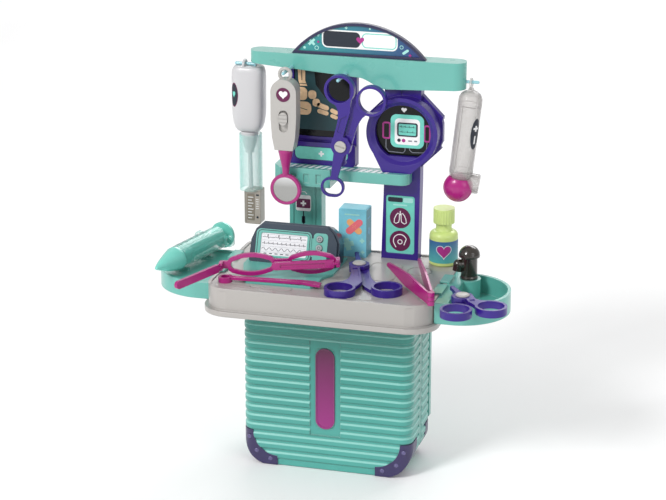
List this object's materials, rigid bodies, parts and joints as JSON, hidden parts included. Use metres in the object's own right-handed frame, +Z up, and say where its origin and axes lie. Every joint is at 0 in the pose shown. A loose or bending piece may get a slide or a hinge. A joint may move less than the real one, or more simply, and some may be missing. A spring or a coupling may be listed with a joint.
{
  "type": "toy doctor case",
  "caption": "Standing ribbed toy suitcase with a counter, two side trays, a canopy and doctor tools",
  "frame": {"origin": "on the floor, under the middle of the case", "axes": "+Z up, +X to the viewer's right, -Y is the front"},
  "size_m": [0.3967, 0.2093, 0.471],
  "materials": {
    "mint": "gloss",
    "teal": "satin",
    "grey": "gloss",
    "purple": "gloss",
    "magenta": "gloss",
    "navy": "satin",
    "white": "gloss",
    "panel": "satin",
    "blue": "gloss",
    "pale_blue": "gloss",
    "brown": "satin",
    "clear_mint": "clear",
    "clear": "clear",
    "beige": "satin",
    "mirror": "polished",
    "steel": "satin",
    "card": "matte",
    "lime": "gloss"
  },
  "bodies": {
    "stand": {"rear_shell": "mint", "back_panel": "teal", "rear_guards": "navy", "door_pins": "steel", "table_base": "grey", "left_upright": "mint", "shelf": "mint", "xray_frame": "purple", "xray_screen": "panel", "right_upright": "purple", "round_panel": "panel", "canopy": "mint", "sign_frame": "navy", "sign_panel": "blue", "hooks": "pale_blue"},
    "door": {"front_shell": "mint", "plaque": "magenta", "front_guards": "navy"},
    "left_side_tray": {"left_tray": "mint"},
    "sink_side_tray": {"sink_tray": "mint", "tap_body": "brown"},
    "tap_turn": {"tap_knob": "brown"},
    "sink_clamp": {"sink_clamp_a": "purple", "sink_clamp_cap": "white"},
    "sink_clamp_arm": {"sink_clamp_b": "purple"},
    "syringe": {"syringe_barrel": "clear_mint", "syringe_tip": "mint"},
    "plunger": {"syringe_plunger": "mint"},
    "drip_set": {"iv_bottle": "white", "iv_neck": "white", "iv_tube": "white", "iv_sleeve": "clear_mint", "iv_regulator": "beige"},
    "mirror_tool": {"mirror_handle": "white", "mirror_ring": "magenta", "mirror_glass": "mirror"},
    "switch": {"mirror_switch": "white"},
    "hanging_clamp": {"clamp_a": "purple", "clamp_screw": "steel"},
    "hanging_clamp_arm": {"clamp_b": "purple"},
    "tube_tool": {"tube_body": "clear", "tube_bulb": "magenta"},
    "monitor": {"ecg_case": "navy", "ecg_bezel": "mint", "ecg_screen": "white", "ecg_base": "mint"},
    "button_up": {"ecg_button_up": "grey"},
    "button_down": {"ecg_button_down": "grey"},
    "glasses": {"glasses_front": "magenta"},
    "earpiece_left": {"temple_left": "magenta"},
    "earpiece_right": {"temple_right": "magenta"},
    "spatula_tool": {"spatula": "magenta"},
    "table_clamp": {"table_clamp_a": "purple", "table_clamp_cap": "white"},
    "table_clamp_arm": {"table_clamp_b": "purple"},
    "tweezers": {"tweezer_a": "magenta"},
    "tweezers_arm": {"tweezer_b": "magenta"},
    "plasters": {"plaster_box": "card"},
    "bottle": {"pill_bottle": "lime"},
    "bottle_lid": {"pill_cap": "lime"}
  },
  "joints": [
    {"name": "door_hinge", "type": "hinge", "parent": "stand", "child": "door", "pos_m": [-0.0955, -0.0032, 0.09], "axis": [0, 0, -1], "range_deg": [0, 100]},
    {"name": "left_tray_lift", "type": "slide", "parent": "stand", "child": "left_side_tray", "axis": [0, 0, 1], "range_m": [0, 0.022]},
    {"name": "sink_tray_lift", "type": "slide", "parent": "stand", "child": "sink_side_tray", "axis": [0, 0, 1], "range_m": [0, 0.022]},
    {"name": "tap_turn", "type": "hinge", "parent": "sink_side_tray", "child": "tap_turn", "pos_m": [0.1405, 0.0135, 0.24], "axis": [0, 0, 1], "range_deg": [-90, 90]},
    {"name": "sink_clamp_lift", "type": "slide", "parent": "sink_side_tray", "child": "sink_clamp", "axis": [0, 0, 1], "range_m": [0, 0.025]},
    {"name": "sink_clamp_open", "type": "hinge", "parent": "sink_clamp", "child": "sink_clamp_arm", "pos_m": [0.151, -0.066, 0.2123], "axis": [0, 0, 1], "range_deg": [-4, 20]},
    {"name": "syringe_lift", "type": "slide", "parent": "left_side_tray", "child": "syringe", "axis": [0, -0.8, 0.6], "range_m": [0, 0.022]},
    {"name": "plunger_push", "type": "slide", "parent": "syringe", "child": "plunger", "axis": [0.23, 0.9732, 0], "range_m": [-0.01, 0.002]},
    {"name": "drip_unhook", "type": "slide", "parent": "stand", "child": "drip_set", "axis": [-1, 0, 0], "range_m": [0, 0.022]},
    {"name": "mirror_unhook", "type": "slide", "parent": "stand", "child": "mirror_tool", "axis": [0, -1, 0], "range_m": [0, 0.022]},
    {"name": "switch_slide", "type": "slide", "parent": "mirror_tool", "child": "switch", "axis": [0, 0, 1], "range_m": [-0.007, 0.0015]},
    {"name": "clamp_unhook", "type": "slide", "parent": "stand", "child": "hanging_clamp", "axis": [0, -1, 0], "range_m": [0, 0.022]},
    {"name": "clamp_open", "type": "hinge", "parent": "hanging_clamp", "child": "hanging_clamp_arm", "pos_m": [-0.00279, 0.024, 0.34423], "axis": [0, 1, 0], "range_deg": [-2, 25]},
    {"name": "tube_unhook", "type": "slide", "parent": "stand", "child": "tube_tool", "axis": [1, 0, 0], "range_m": [0, 0.022]},
    {"name": "monitor_lift", "type": "slide", "parent": "stand", "child": "monitor", "axis": [0, 0, 1], "range_m": [0, 0.012]},
    {"name": "press_up", "type": "slide", "parent": "monitor", "child": "button_up", "axis": [0, 0.9397, -0.342], "range_m": [0, 0.0015], "stiffness_N_per_m": 60},
    {"name": "press_down", "type": "slide", "parent": "monitor", "child": "button_down", "axis": [0, 0.9397, -0.342], "range_m": [0, 0.0015], "stiffness_N_per_m": 60},
    {"name": "glasses_lift", "type": "slide", "parent": "monitor", "child": "glasses", "axis": [0, 0, 1], "range_m": [0, 0.025]},
    {"name": "left_earpiece", "type": "hinge", "parent": "glasses", "child": "earpiece_left", "pos_m": [-0.11067, -0.06383, 0.22653], "axis": [-0.0582, -0.0112, 0.9982], "range_deg": [0, 100]},
    {"name": "right_earpiece", "type": "hinge", "parent": "glasses", "child": "earpiece_right", "pos_m": [0.01137, -0.04032, 0.23391], "axis": [-0.0582, -0.0112, 0.9982], "range_deg": [0, 92]},
    {"name": "spatula_slide", "type": "slide", "parent": "monitor", "child": "spatula_tool", "axis": [0, -1, 0], "range_m": [0, 0.01]},
    {"name": "table_clamp_lift", "type": "slide", "parent": "stand", "child": "table_clamp", "axis": [0, 0, 1], "range_m": [0, 0.025]},
    {"name": "table_clamp_open", "type": "hinge", "parent": "table_clamp", "child": "table_clamp_arm", "pos_m": [0.022, 0.0064, 0.212], "axis": [0, 0, 1], "range_deg": [-4, 10]},
    {"name": "tweezers_lift", "type": "slide", "parent": "stand", "child": "tweezers", "axis": [0, 0, 1], "range_m": [0, 0.025]},
    {"name": "tweezers_squeeze", "type": "hinge", "parent": "tweezers", "child": "tweezers_arm", "pos_m": [0.1218, -0.084, 0.212], "axis": [0, 0, 1], "range_deg": [0, 11]},
    {"name": "plasters_lift", "type": "slide", "parent": "stand", "child": "plasters", "axis": [0, 0, 1], "range_m": [0, 0.03]},
    {"name": "bottle_lift", "type": "slide", "parent": "stand", "child": "bottle", "axis": [0, -0.8, 0.6], "range_m": [0, 0.06]},
    {"name": "lid_turn", "type": "hinge", "parent": "bottle", "child": "bottle_lid", "pos_m": [0.103, 0.0555, 0.265], "axis": [0, 0, 1], "continuous": true}
  ]
}
